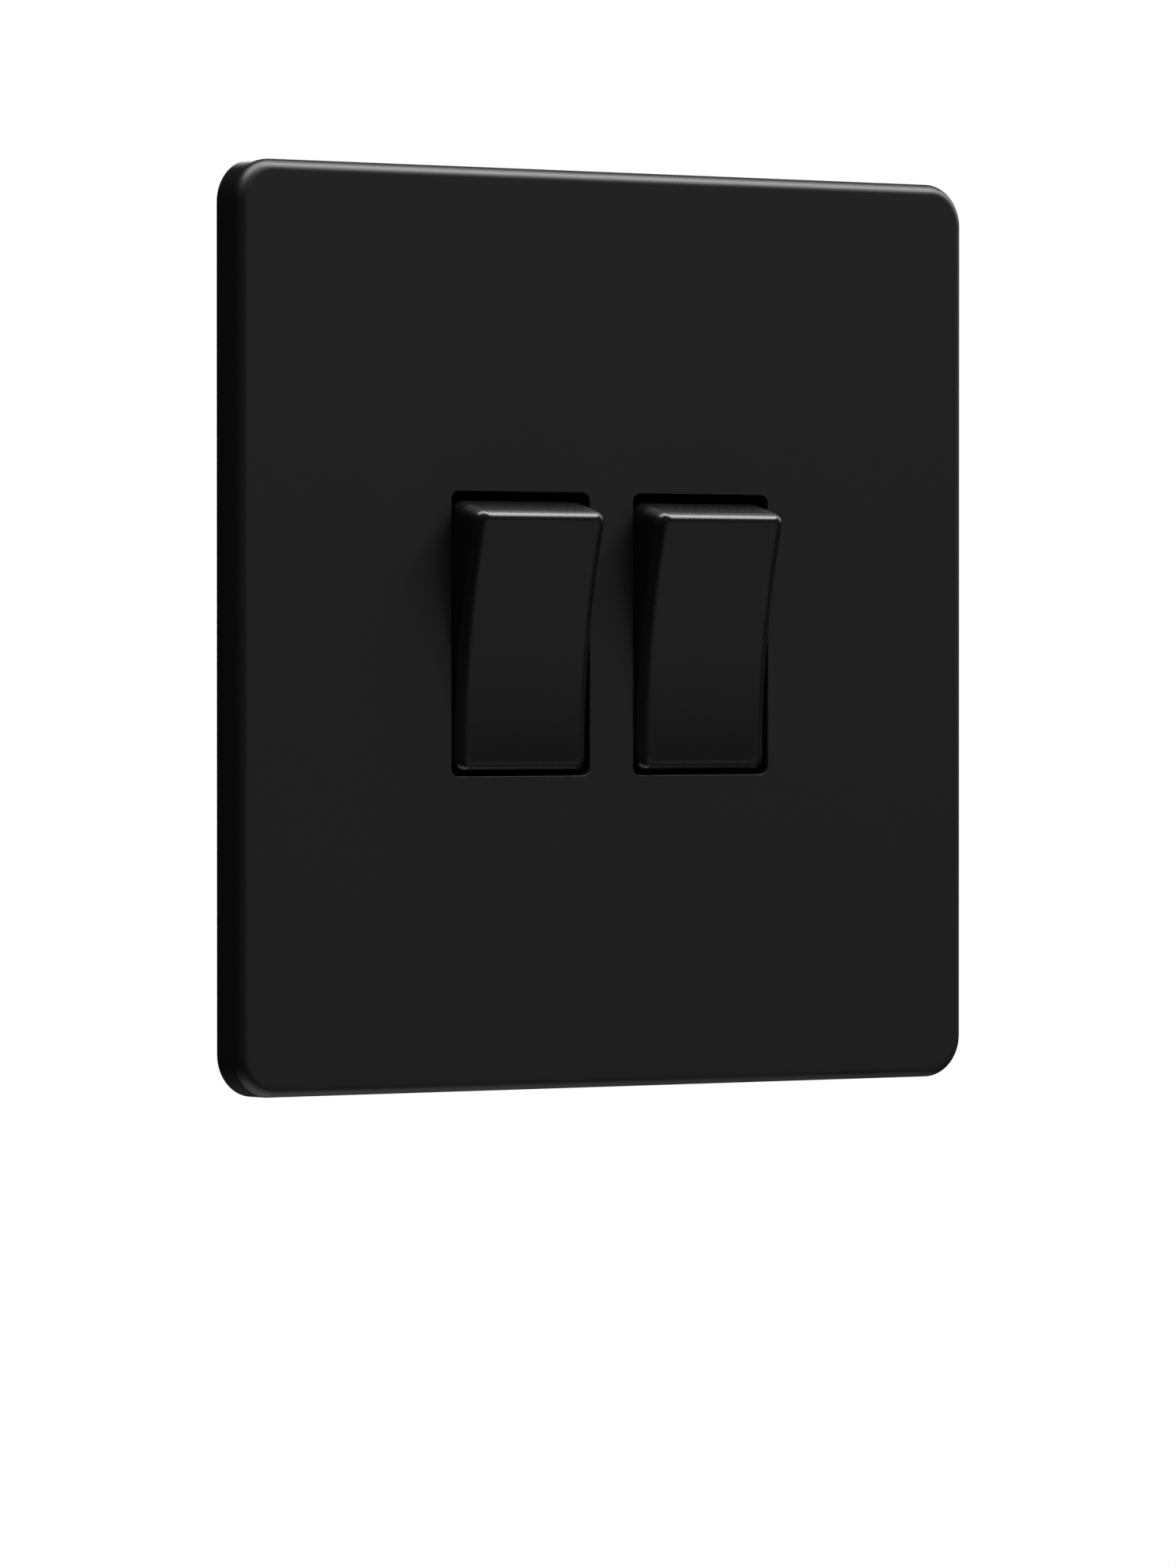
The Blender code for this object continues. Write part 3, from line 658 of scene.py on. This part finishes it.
def make_rocker(side, material):
    """Rings from the hollow front's edge down the walls, round the skirt and up inside to the roof."""
    joint = next(joint for joint in frame["joints"] if joint["name"] == f"rocker_{side}_tip")
    bm = bmesh.new()
    rings = []
    full = ROCKER_FORWARD + ROCKER_SKIRT

    def ring(depth, inset_x, inset_z, radius, sagging):
        half_x, half_z = rocker_side(depth) - inset_x, rocker_end(depth) - inset_z
        points = rounded_rectangle(half_x, half_z, radius, ROCKER_CORNER_STEPS, ROCKER_SIDE_STEPS)

        def place(x, z):
            sag = (rocker_front(z) + ROCKER_FORWARD) * sagging
            return (x, depth - ROCKER_FORWARD + sag, z)

        rings.append(add_loop(bm, points, place))

    for step in range(EDGE_STEPS + 1):
        angle = math.radians(ROCKER_FILLET_TURN * step / EDGE_STEPS)
        depth = ROCKER_FILLET * (1 - math.cos(angle))
        inset = ROCKER_FILLET * (1.0 - math.sin(angle))
        inset_x = ROCKER_SIDE_FILLET * (1.0 - math.sin(angle))
        ring(depth, inset_x, inset, ROCKER_CORNER - inset * ROCKER_CORNER_CLOSING, 1.0)
    for step in range(1, ROCKER_WALL_STEPS + 1):
        share = step / ROCKER_WALL_STEPS
        depth = ROCKER_FILLET + (full - ROCKER_FILLET) * share
        ring(depth, 0.0, 0.0, ROCKER_CORNER + ROCKER_CORNER_GROWTH * share, 1.0 - share)
    roof_depth = ROCKER_ROOF + ROCKER_FORWARD
    for depth, inset in ((full, ROCKER_WALL), (roof_depth, ROCKER_WALL + ROCKER_ROOF_TAPER)):
        ring(depth, inset, inset, ROCKER_INSIDE_CORNER, 0.0)
    bridge_all(bm, rings)
    ladder(bm, rings[0])
    ladder(bm, rings[-1])
    add_rocker_fittings(bm)
    rocker = shape(f"rocker_lever_{side}", bm, [])
    place = Matrix.Translation(joint["pos_m"]) @ Matrix.Rotation(math.radians(ROCKER_TILT), 4, "X")
    rocker.data.transform(place)
    outfit(rocker, material, f"rocker_{side}", "rocker", f"rocker_{side}")


def add_rocker_fittings(bm):
    """The cup that holds the spring and plunger, and the two trunnions that the rocker turns on."""
    ease = ROCKER_FITTING_EASE
    root = ROCKER_ROOF - TUBE_ROOT
    floor = ROCKER_ROOF + TUBE_FLOOR
    cup = [
        (0.0, root),
        (TUBE_RADIUS, root),
        (TUBE_RADIUS, TUBE_REACH - ease),
        (TUBE_RADIUS - ease, TUBE_REACH),
        (TUBE_BORE + ease, TUBE_REACH),
        (TUBE_BORE, TUBE_REACH - ease),
        (TUBE_BORE, floor),
        (0.0, floor),
    ]
    lathe(cup, bm=bm)
    inside_wall = ROCKER_WIDTH / 2 - ROCKER_WALL / 2
    for direction in (-1, 1):
        pin = [
            (0.0, direction * inside_wall),
            (TRUNNION_RADIUS, direction * inside_wall),
            (TRUNNION_RADIUS, direction * (TRUNNION_REACH - ease)),
            (TRUNNION_RADIUS - ease, direction * TRUNNION_REACH),
            (0.0, direction * TRUNNION_REACH),
        ]
        lathe(pin, axis="X", bm=bm)


def ladder(bm, ring):
    """Quads across a ring from its right side to its left, at matching heights."""
    half = len(ring) // 2
    right = ring[:half]
    left = ring[half:]
    left.reverse()
    for i in range(half - 1):
        bm.faces.new((right[i], right[i + 1], left[i + 1], left[i]))


# ---------------------------------------------------------------- switch modules


def funnel(radius, start, end, axis, at, flare=0.5):
    """A hole cutter that widens towards its mouth at end."""
    out = 1 if end > start else -1
    profile = [
        (0.0, start),
        (radius, start),
        (radius, end - out * flare),
        (radius + flare, end),
        (radius + flare, end + out * MOUTH_OVERSHOOT),
        (0.0, end + out * MOUTH_OVERSHOOT),
    ]
    return lathe(profile, axis, at=at)


def module_part(x, z):
    """A maker of blocks whose corners are given from the middle of a module."""

    def part(low, high, corner=0.0):
        return block((x + low[0], low[1], z + low[2]), (x + high[0], high[1], z + high[2]), corner)

    return part


def make_housing(side, material):
    """The black module: a collar, a flange and a deep body, hollow in front of its web and behind."""
    x, z = (value / MM for value in opening_centre(side))
    part = module_part(x, z)
    w, h = MODULE_WIDTH, MODULE_HEIGHT
    front, back = FLANGE_DEPTHS
    steps = [
        ("UNION", part((-w, front, -FLANGE_HEIGHT), (w, back, FLANGE_HEIGHT), MODULE_CORNER)),
        ("UNION", part((-w, BODY_FRONT, -h), (w, MODULE_BACK, h), MODULE_CORNER)),
    ]
    for end in (-1, 1):
        low, high = sorted((end * (COLLAR_HEIGHT - HOOK_ROOT), end * HOOK_REACH))
        hook = part((-HOOK_WIDTH, HOOK_DEPTHS[0], low), (HOOK_WIDTH, HOOK_DEPTHS[1], high))
        steps.append(("UNION", hook))
    steps += hollow_steps(part)
    for direction in (-1, 1):
        inside, outside = CAVITY_WIDTH - OVERSHOOT, TRUNNION_REACH + EAR_CLEARANCE
        start, end = sorted((direction * inside, direction * outside))
        hole = rod(TRUNNION_RADIUS + RUNNING_GAP, start, end, "X", (x, PIVOT_DEPTH, z))
        steps.append(("DIFFERENCE", hole))
        left, right = sorted((direction * (w - GROOVE_DEPTH), direction * (w + OVERSHOOT)))
        for number in range(-GROOVES_EACH_WAY, GROOVES_EACH_WAY + 1):
            low, high = number * GROOVE_PITCH - GROOVE_HALF, number * GROOVE_PITCH + GROOVE_HALF
            steps.append(("DIFFERENCE", part((left, GROOVE_FRONT, low), (right, FAR_BACK, high))))
    for direction, end in TERMINALS.values():
        at = (x + direction * TERMINAL_X, TUNNEL_DEPTH, z)
        inside = end * (h - MODULE_END_WALL - OVERSHOOT)
        entry = funnel(TUNNEL_RADIUS + ENTRY_CLEARANCE, inside, end * h, "Z", at)
        steps.append(("DIFFERENCE", entry))
    blank = part((-w, MODULE_FRONT, -COLLAR_HEIGHT), (w, COLLAR_BACK, COLLAR_HEIGHT), MODULE_CORNER)
    housing = shape(f"module_shell_{side}", blank, steps, MODULE_EASE)
    outfit(housing, material, "base", "housing", f"module_housing_{side}")


def hollow_steps(part):
    """Room for the rocker, room for the contacts, and the slot that the rocker's tube swings in."""
    web_front, web_back = WEB_DEPTHS
    room_x, room_z = MODULE_WIDTH - MODULE_WALL, MODULE_HEIGHT - MODULE_END_WALL
    swing = TUBE_REACH * math.sin(math.radians(ROCKER_TILT))
    slot_x = TUBE_RADIUS + SLOT_CLEARANCE
    slot_z = TUBE_RADIUS + swing + SLOT_CLEARANCE
    rooms = (
        (CAVITY_WIDTH, CAVITY_HEIGHT, FAR_FRONT, web_front),
        (room_x, room_z, web_back, FAR_BACK),
        (slot_x, slot_z, web_front - WEB_OVERSHOOT, web_back + OVERSHOOT),
    )
    return [
        ("DIFFERENCE", part((-wide, front, -tall), (wide, back, tall), CAVITY_CORNER))
        for wide, tall, front, back in rooms
    ]


def make_cover(side, material):
    """The grey rear cover: a sunk panel with ribs, and a collar round each terminal screw."""
    x, z = (value / MM for value in opening_centre(side))
    part = module_part(x, z)
    w, h = MODULE_WIDTH, MODULE_HEIGHT
    panel = COVER_BACK - COVER_PANEL
    root = panel - COVER_ROOT
    border_x, border_z = w - COVER_BORDER, h - COVER_BORDER
    out = COVER_BACK + OVERSHOOT
    recess = part((-border_x, panel, -border_z), (border_x, out, border_z), COVER_CORNER)
    steps = [("DIFFERENCE", recess)]
    rib_back = COVER_BACK - COVER_RIB_SINK
    rib_x, rib_z = w - COVER_BORDER / 2, h - COVER_BORDER / 2
    steps.append(("UNION", part((-COVER_SPINE_HALF, root, -rib_z), (COVER_SPINE_HALF, rib_back, rib_z))))
    for level in COVER_RIB_LEVELS:
        low, high = level - COVER_RIB_HALF, level + COVER_RIB_HALF
        steps.append(("UNION", part((-rib_x, root, low), (rib_x, rib_back, high))))
    for direction, end in TERMINALS.values():
        at = (x + direction * TERMINAL_X, 0.0, z + end * TERMINAL_Z)
        steps.append(("UNION", rod(SCREW_COLLAR, root, COVER_BACK, at=at)))
        radius = TERMINAL_SCREW["head"] + COVER_HOLE_FLARE
        hole = funnel(radius, MODULE_BACK - OVERSHOOT, COVER_BACK, "Y", at, COVER_HOLE_FLARE)
        steps.append(("DIFFERENCE", hole))
    blind_at = (x - TERMINAL_X, 0.0, z - TERMINAL_Z)
    steps.append(("DIFFERENCE", rod(BLIND_DISC, panel - BLIND_DEPTH, out, at=blind_at)))
    for end in (-1, 1):
        low, high = sorted((end * (h - LATCH_DEPTH), end * (h + OVERSHOOT)))
        latch = part((-LATCH_HALF, MODULE_BACK, low), (LATCH_HALF, LATCH_BACK, high))
        steps.append(("DIFFERENCE", latch))
    blank = part((-w, COVER_FRONT, -h), (w, COVER_BACK, h), MODULE_CORNER)
    cover = shape(f"module_cover_{side}", blank, steps, COVER_EASE)
    outfit(cover, material, "base", "cover", f"rear_cover_{side}")


def add_thread(bm, size, at):
    """A V thread about Y with a tapered tip: rows climb with the angle, so crests form a helix."""
    start, end, pitch = size["seat"], size["end"], size["pitch"]
    rows = round(abs(end - start) / pitch * THREAD_ROWS)
    rings = []
    for row in range(rows + 1):
        y = start + (end - start) * row / rows
        taper = min(1.0, TIP_SHARE + (1.0 - TIP_SHARE) * abs(end - y) / TIP_LENGTH)
        ring = []
        for i in range(THREAD_SIDES):
            phase = (y / pitch + i / THREAD_SIDES) % 1.0
            reach = (size["shank"] - THREAD_DEPTH * abs(2.0 * phase - 1.0)) * taper
            angle = 2 * math.pi * i / THREAD_SIDES
            spot = Vector((at[0] + reach * math.cos(angle), y, at[1] + reach * math.sin(angle)))
            ring.append(bm.verts.new(spot * MM))
        rings.append(ring)
    bridge_all(bm, rings)
    bm.faces.new(rings[0])
    bm.faces.new(rings[-1])


def screw_head_profile(size):
    """A flat seat with a broken edge, a straight side, and a dome up to a flat top."""
    seat, top, head = size["seat"], size["top"], size["head"]
    out = 1 if top > seat else -1
    dome = HEAD_DOME * abs(top - seat)
    profile = [
        (0.0, seat),
        (head * SEAT_SHARE, seat),
        (head, seat + out * SEAT_EASE),
        (head, top - out * dome),
    ]
    for step in range(1, HEAD_STEPS):
        angle = math.pi / 2 * step / HEAD_STEPS
        radius = head * (HEAD_FLAT + (1.0 - HEAD_FLAT) * math.cos(angle))
        profile.append((radius, top - out * dome * (1 - math.sin(angle))))
    return profile + [(head * HEAD_FLAT, top), (0.0, top)]


def make_screw(node, size, turn, material):
    """A slotted screw with a domed head, its slot turned as it was last left, and a cut thread."""
    low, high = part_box(node)
    at = ((low.x + high.x) / 2 / MM, (low.z + high.z) / 2 / MM)
    seat, top, head = size["seat"], size["top"], size["head"]
    out = 1 if top > seat else -1
    blank = lathe(screw_head_profile(size), sides=HEAD_SIDES, at=(at[0], 0.0, at[1]))
    low_y, high_y = sorted(((top + seat) / 2, top + out * OVERSHOOT))
    half = SCREW_SLOT / 2
    cutter = block((-head - OVERSHOOT, low_y, -half), (head + OVERSHOOT, high_y, half))
    bmesh.ops.rotate(cutter, verts=cutter.verts, matrix=Matrix.Rotation(math.radians(turn), 3, "Y"))
    bmesh.ops.translate(cutter, verts=cutter.verts, vec=Vector((at[0], 0.0, at[1])) * MM)
    screw = shape(f"{node}_cut", blank, [("DIFFERENCE", cutter)], SCREW_EASE)
    bm = bmesh.new()
    bm.from_mesh(screw.data)
    add_thread(bm, size, at)
    bmesh.ops.recalc_face_normals(bm, faces=bm.faces)
    bm.to_mesh(screw.data)
    bm.free()
    outfit(screw, material, "base", "zinc_screw", node)


def make_earth_terminal(material):
    low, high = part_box("earth_terminal")
    x, z = (low.x + high.x) / 2 / MM, (low.z + high.z) / 2 / MM
    half = EARTH_HALF
    steps = []
    for direction in (-1, 1):
        at = (x, EARTH_TUNNEL, z)
        mouth = funnel(TUNNEL_RADIUS, 0.0, direction * half, "X", at, EARTH_TUNNEL_FLARE)
        steps.append(("DIFFERENCE", mouth))
    bore = funnel(SCREW_BORE, EARTH_TUNNEL, EARTH_BACK, "Y", (x, 0.0, z), EARTH_BORE_FLARE)
    steps.append(("DIFFERENCE", bore))
    blank = block((x - half, EARTH_FRONT, z - half), (x + half, EARTH_BACK, z + half), EARTH_CORNER)
    terminal = shape("earth_clamp", blank, steps, EARTH_EASE)
    outfit(terminal, material, "base", "brass", "earth_terminal")


def make_clip_frame(material):
    """The moulded carrier: sunk pockets in front, a lip round it and a snap lug on each side."""
    low, high = (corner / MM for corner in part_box("clip_frame"))
    half, front, back = CLIP_HALF, low.y, high.y
    floor = front + CLIP_SKIN
    pocket_floor = front + POCKET_DEPTH
    inner = half - CLIP_LIP
    hollow = block((-inner, floor, -inner), (inner, OVERSHOOT, inner), CLIP_INSIDE_CORNER)
    left_x, middle_z = (value / MM for value in opening_centre("left"))
    wide = MODULE_WIDTH - left_x + WINDOW_GAP
    bottom, top = middle_z - COLLAR_HEIGHT - WINDOW_GAP, middle_z + COLLAR_HEIGHT + WINDOW_GAP
    window = block((-wide, FAR_FRONT, bottom), (wide, -FAR_FRONT, top), MODULE_CORNER)
    steps = [("DIFFERENCE", hollow), ("DIFFERENCE", window)]
    for direction in (-1, 1):
        at = (direction * FIXING_X, 0.0, 0.0)
        steps.append(("DIFFERENCE", funnel(HEAD_HOLE, OVERSHOOT, front, "Y", at, HEAD_HOLE_FLARE)))
        bottom, top = sorted(direction * height for height in POCKET_HEIGHTS)
        for column in (-1, 0, 1):
            left, right = column * POCKET_PITCH - POCKET_HALF, column * POCKET_PITCH + POCKET_HALF
            pocket = block((left, FAR_FRONT, bottom), (right, pocket_floor, top), POCKET_CORNER)
            steps.append(("DIFFERENCE", pocket))
    for turn in range(4):
        lug = block((half - LUG_ROOT, floor, -LUG_HALF), (high.x, floor + LUG_DEPTH, LUG_HALF))
        bmesh.ops.rotate(lug, verts=lug.verts, matrix=Matrix.Rotation(math.radians(90 * turn), 3, "Y"))
        steps.append(("UNION", lug))
    blank = block((-half, front, -half), (half, back, half), CLIP_CORNER)
    carrier = shape("snap_carrier", blank, steps, CLIP_EASE)
    outfit(carrier, material, "base", "carrier", "clip_frame")


def dress(material, *nodes):
    """Gives CAD nodes a finish, and leaves their shapes as they are."""
    for name in nodes:
        item = frame["nodes"][name]
        item.data.materials.clear()
        item.data.materials.append(material)


# ---------------------------------------------------------------- stage


def make_world():
    """White to the eye, and a faint even fill as light."""
    world = bpy.data.worlds.new("studio")
    bpy.context.scene.world = world
    world.use_nodes = True
    tree = world.node_tree
    background = tree.nodes["Background"]
    background.inputs["Color"].default_value = (1, 1, 1, 1)
    background.inputs["Strength"].default_value = WORLD_FILL
    white = tree.nodes.new("ShaderNodeBackground")
    white.inputs["Color"].default_value = (1, 1, 1, 1)
    path = tree.nodes.new("ShaderNodeLightPath")
    mix = tree.nodes.new("ShaderNodeMixShader")
    link(tree, path.outputs["Is Camera Ray"], mix.inputs["Fac"])
    link(tree, background.outputs["Background"], mix.inputs[1])
    link(tree, white.outputs["Background"], mix.inputs[2])
    link(tree, mix.outputs["Shader"], tree.nodes["World Output"].inputs["Surface"])


def make_light(name, azimuth, elevation, width, height, brightness):
    """A soft box in a direction from the switch: azimuth 0 is straight ahead of it, 90 its right."""
    turn, rise = math.radians(azimuth), math.radians(elevation)
    flat = Vector((math.sin(turn), -math.cos(turn), 0.0)) * math.cos(rise)
    direction = flat + Vector((0.0, 0.0, math.sin(rise)))
    data = bpy.data.lights.new(name, "AREA")
    data.shape = "RECTANGLE"
    data.size, data.size_y = width, height
    data.energy = brightness * math.pi * width * height
    lamp = bpy.data.objects.new(name, data)
    bpy.context.scene.collection.objects.link(lamp)
    lamp.location = direction * LIGHT_DISTANCE
    lamp.rotation_euler = direction.to_track_quat("Z", "Y").to_euler()
    return lamp


def make_camera():
    middle = plate_centre()
    front = Vector((middle.x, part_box("face_plate")[0].y, middle.z))
    azimuth = math.radians(CAMERA_AZIMUTH)
    back = Vector((math.sin(azimuth), -math.cos(azimuth), 0.0))
    data = bpy.data.cameras.new("camera")
    data.lens = CAMERA_LENS
    data.sensor_width = CAMERA_SENSOR
    data.clip_start, data.clip_end = 0.05, 20.0
    camera = bpy.data.objects.new("camera", data)
    bpy.context.scene.collection.objects.link(camera)
    camera.location = front + back * CAMERA_DISTANCE - Vector((0, 0, CAMERA_DROP))
    heading = math.radians(CAMERA_AZIMUTH + CAMERA_PAN)
    camera.rotation_euler = Euler((math.radians(90.0 + CAMERA_TILT), 0.0, heading))
    bpy.context.scene.camera = camera
    return camera


def make_floor():
    """A plain pale floor below the switch, which hangs above it as on a wall."""
    bm = bmesh.new()
    bmesh.ops.create_grid(bm, x_segments=8, y_segments=8, size=FLOOR_HALF)
    material, tree, shader = new_material("pale_floor")
    shade = ramp(tree, noise(tree, scale=4.0), [(0.3, grey(0.74)), (0.7, grey(0.78))])
    link(tree, shade, shader.inputs["Base Color"])
    shader.inputs["Roughness"].default_value = 0.6
    floor = bare_object("floor", bm)
    floor.data.materials.append(material)
    floor.location.z = FLOOR_HEIGHT


# ---------------------------------------------------------------- the switch

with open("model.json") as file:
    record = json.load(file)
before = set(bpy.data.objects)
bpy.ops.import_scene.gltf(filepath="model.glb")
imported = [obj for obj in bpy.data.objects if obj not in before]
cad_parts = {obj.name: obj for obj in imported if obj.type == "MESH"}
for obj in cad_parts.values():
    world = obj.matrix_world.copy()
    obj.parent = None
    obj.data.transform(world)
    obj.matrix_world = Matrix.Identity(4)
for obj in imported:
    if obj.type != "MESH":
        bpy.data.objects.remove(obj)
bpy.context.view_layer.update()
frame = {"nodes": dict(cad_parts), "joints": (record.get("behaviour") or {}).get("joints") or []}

scene = bpy.context.scene
scene.view_settings.view_transform = "Standard"
scene.view_settings.look = "None"

make_camera()
make_world()
make_floor()

powder_coat = coated_metal("black_powder_coat", tone=0.003, rough=0.42)
rocker_black = moulded_plastic("black_satin_moulding", tone=0.004, rough=0.27)
housing_black = moulding("black_module_moulding", (0.006, 0.006, 0.0062), rough=0.55, texture=0.35)
cover_grey = moulding("grey_cover_moulding", (0.42, 0.43, 0.42), rough=0.5, texture=0.3)
charcoal = moulding("charcoal_carrier_moulding", (0.03, 0.03, 0.031), rough=0.5, texture=0.35)
nylon = moulding("natural_nylon", (0.62, 0.6, 0.53), rough=0.42, texture=0.2)
foam = foam_rubber("closed_cell_foam")
brass = worked_metal("terminal_brass", (0.66, 0.44, 0.17), 0.3, (1.0, 1.0, 0.1), stain=0.55)
zinc = worked_metal("bright_zinc", (0.58, 0.6, 0.63), 0.28, (1.0, 1.0, 1.0), stain=0.7)
sheet = worked_metal("galvanised_sheet", (0.5, 0.52, 0.54), 0.36, (0.12, 1.0, 1.0), stain=0.72)
wire = worked_metal("drawn_spring_wire", (0.42, 0.42, 0.43), 0.25, (1.0, 0.2, 1.0), stain=0.75)
copper = worked_metal("rolled_copper", (0.64, 0.3, 0.16), 0.28, (1.0, 1.0, 0.1), stain=0.6)

make_plate(powder_coat)
for number, side_name in enumerate(SIDES):
    make_rocker(side_name, rocker_black)
    make_housing(side_name, housing_black)
    make_cover(side_name, cover_grey)
    fixing_turn = FIXING_TURN + FIXING_TURN_STEP * number
    make_screw(f"fixing_screw_{side_name}", FIXING_SCREW, fixing_turn, zinc)
    for place, terminal in enumerate(TERMINALS):
        dress(brass, f"terminal_{terminal}_{side_name}")
        turn = TERMINAL_TURN + TERMINAL_TURN_STEP * place + MODULE_TURN_STEP * number
        make_screw(f"terminal_screw_{terminal}_{side_name}", TERMINAL_SCREW, turn, zinc)
    dress(nylon, f"plunger_{side_name}")
    dress(wire, f"plunger_spring_{side_name}")
    dress(copper, f"moving_contact_{side_name}")
make_earth_terminal(brass)
make_screw("earth_screw", EARTH_SCREW, EARTH_TURN, zinc)
make_clip_frame(charcoal)
dress(sheet, "support_frame")
dress(foam, "wall_gasket")

for name, azimuth, elevation, width, height, brightness in LIGHTS:
    make_light(name, azimuth, elevation, width, height, brightness)
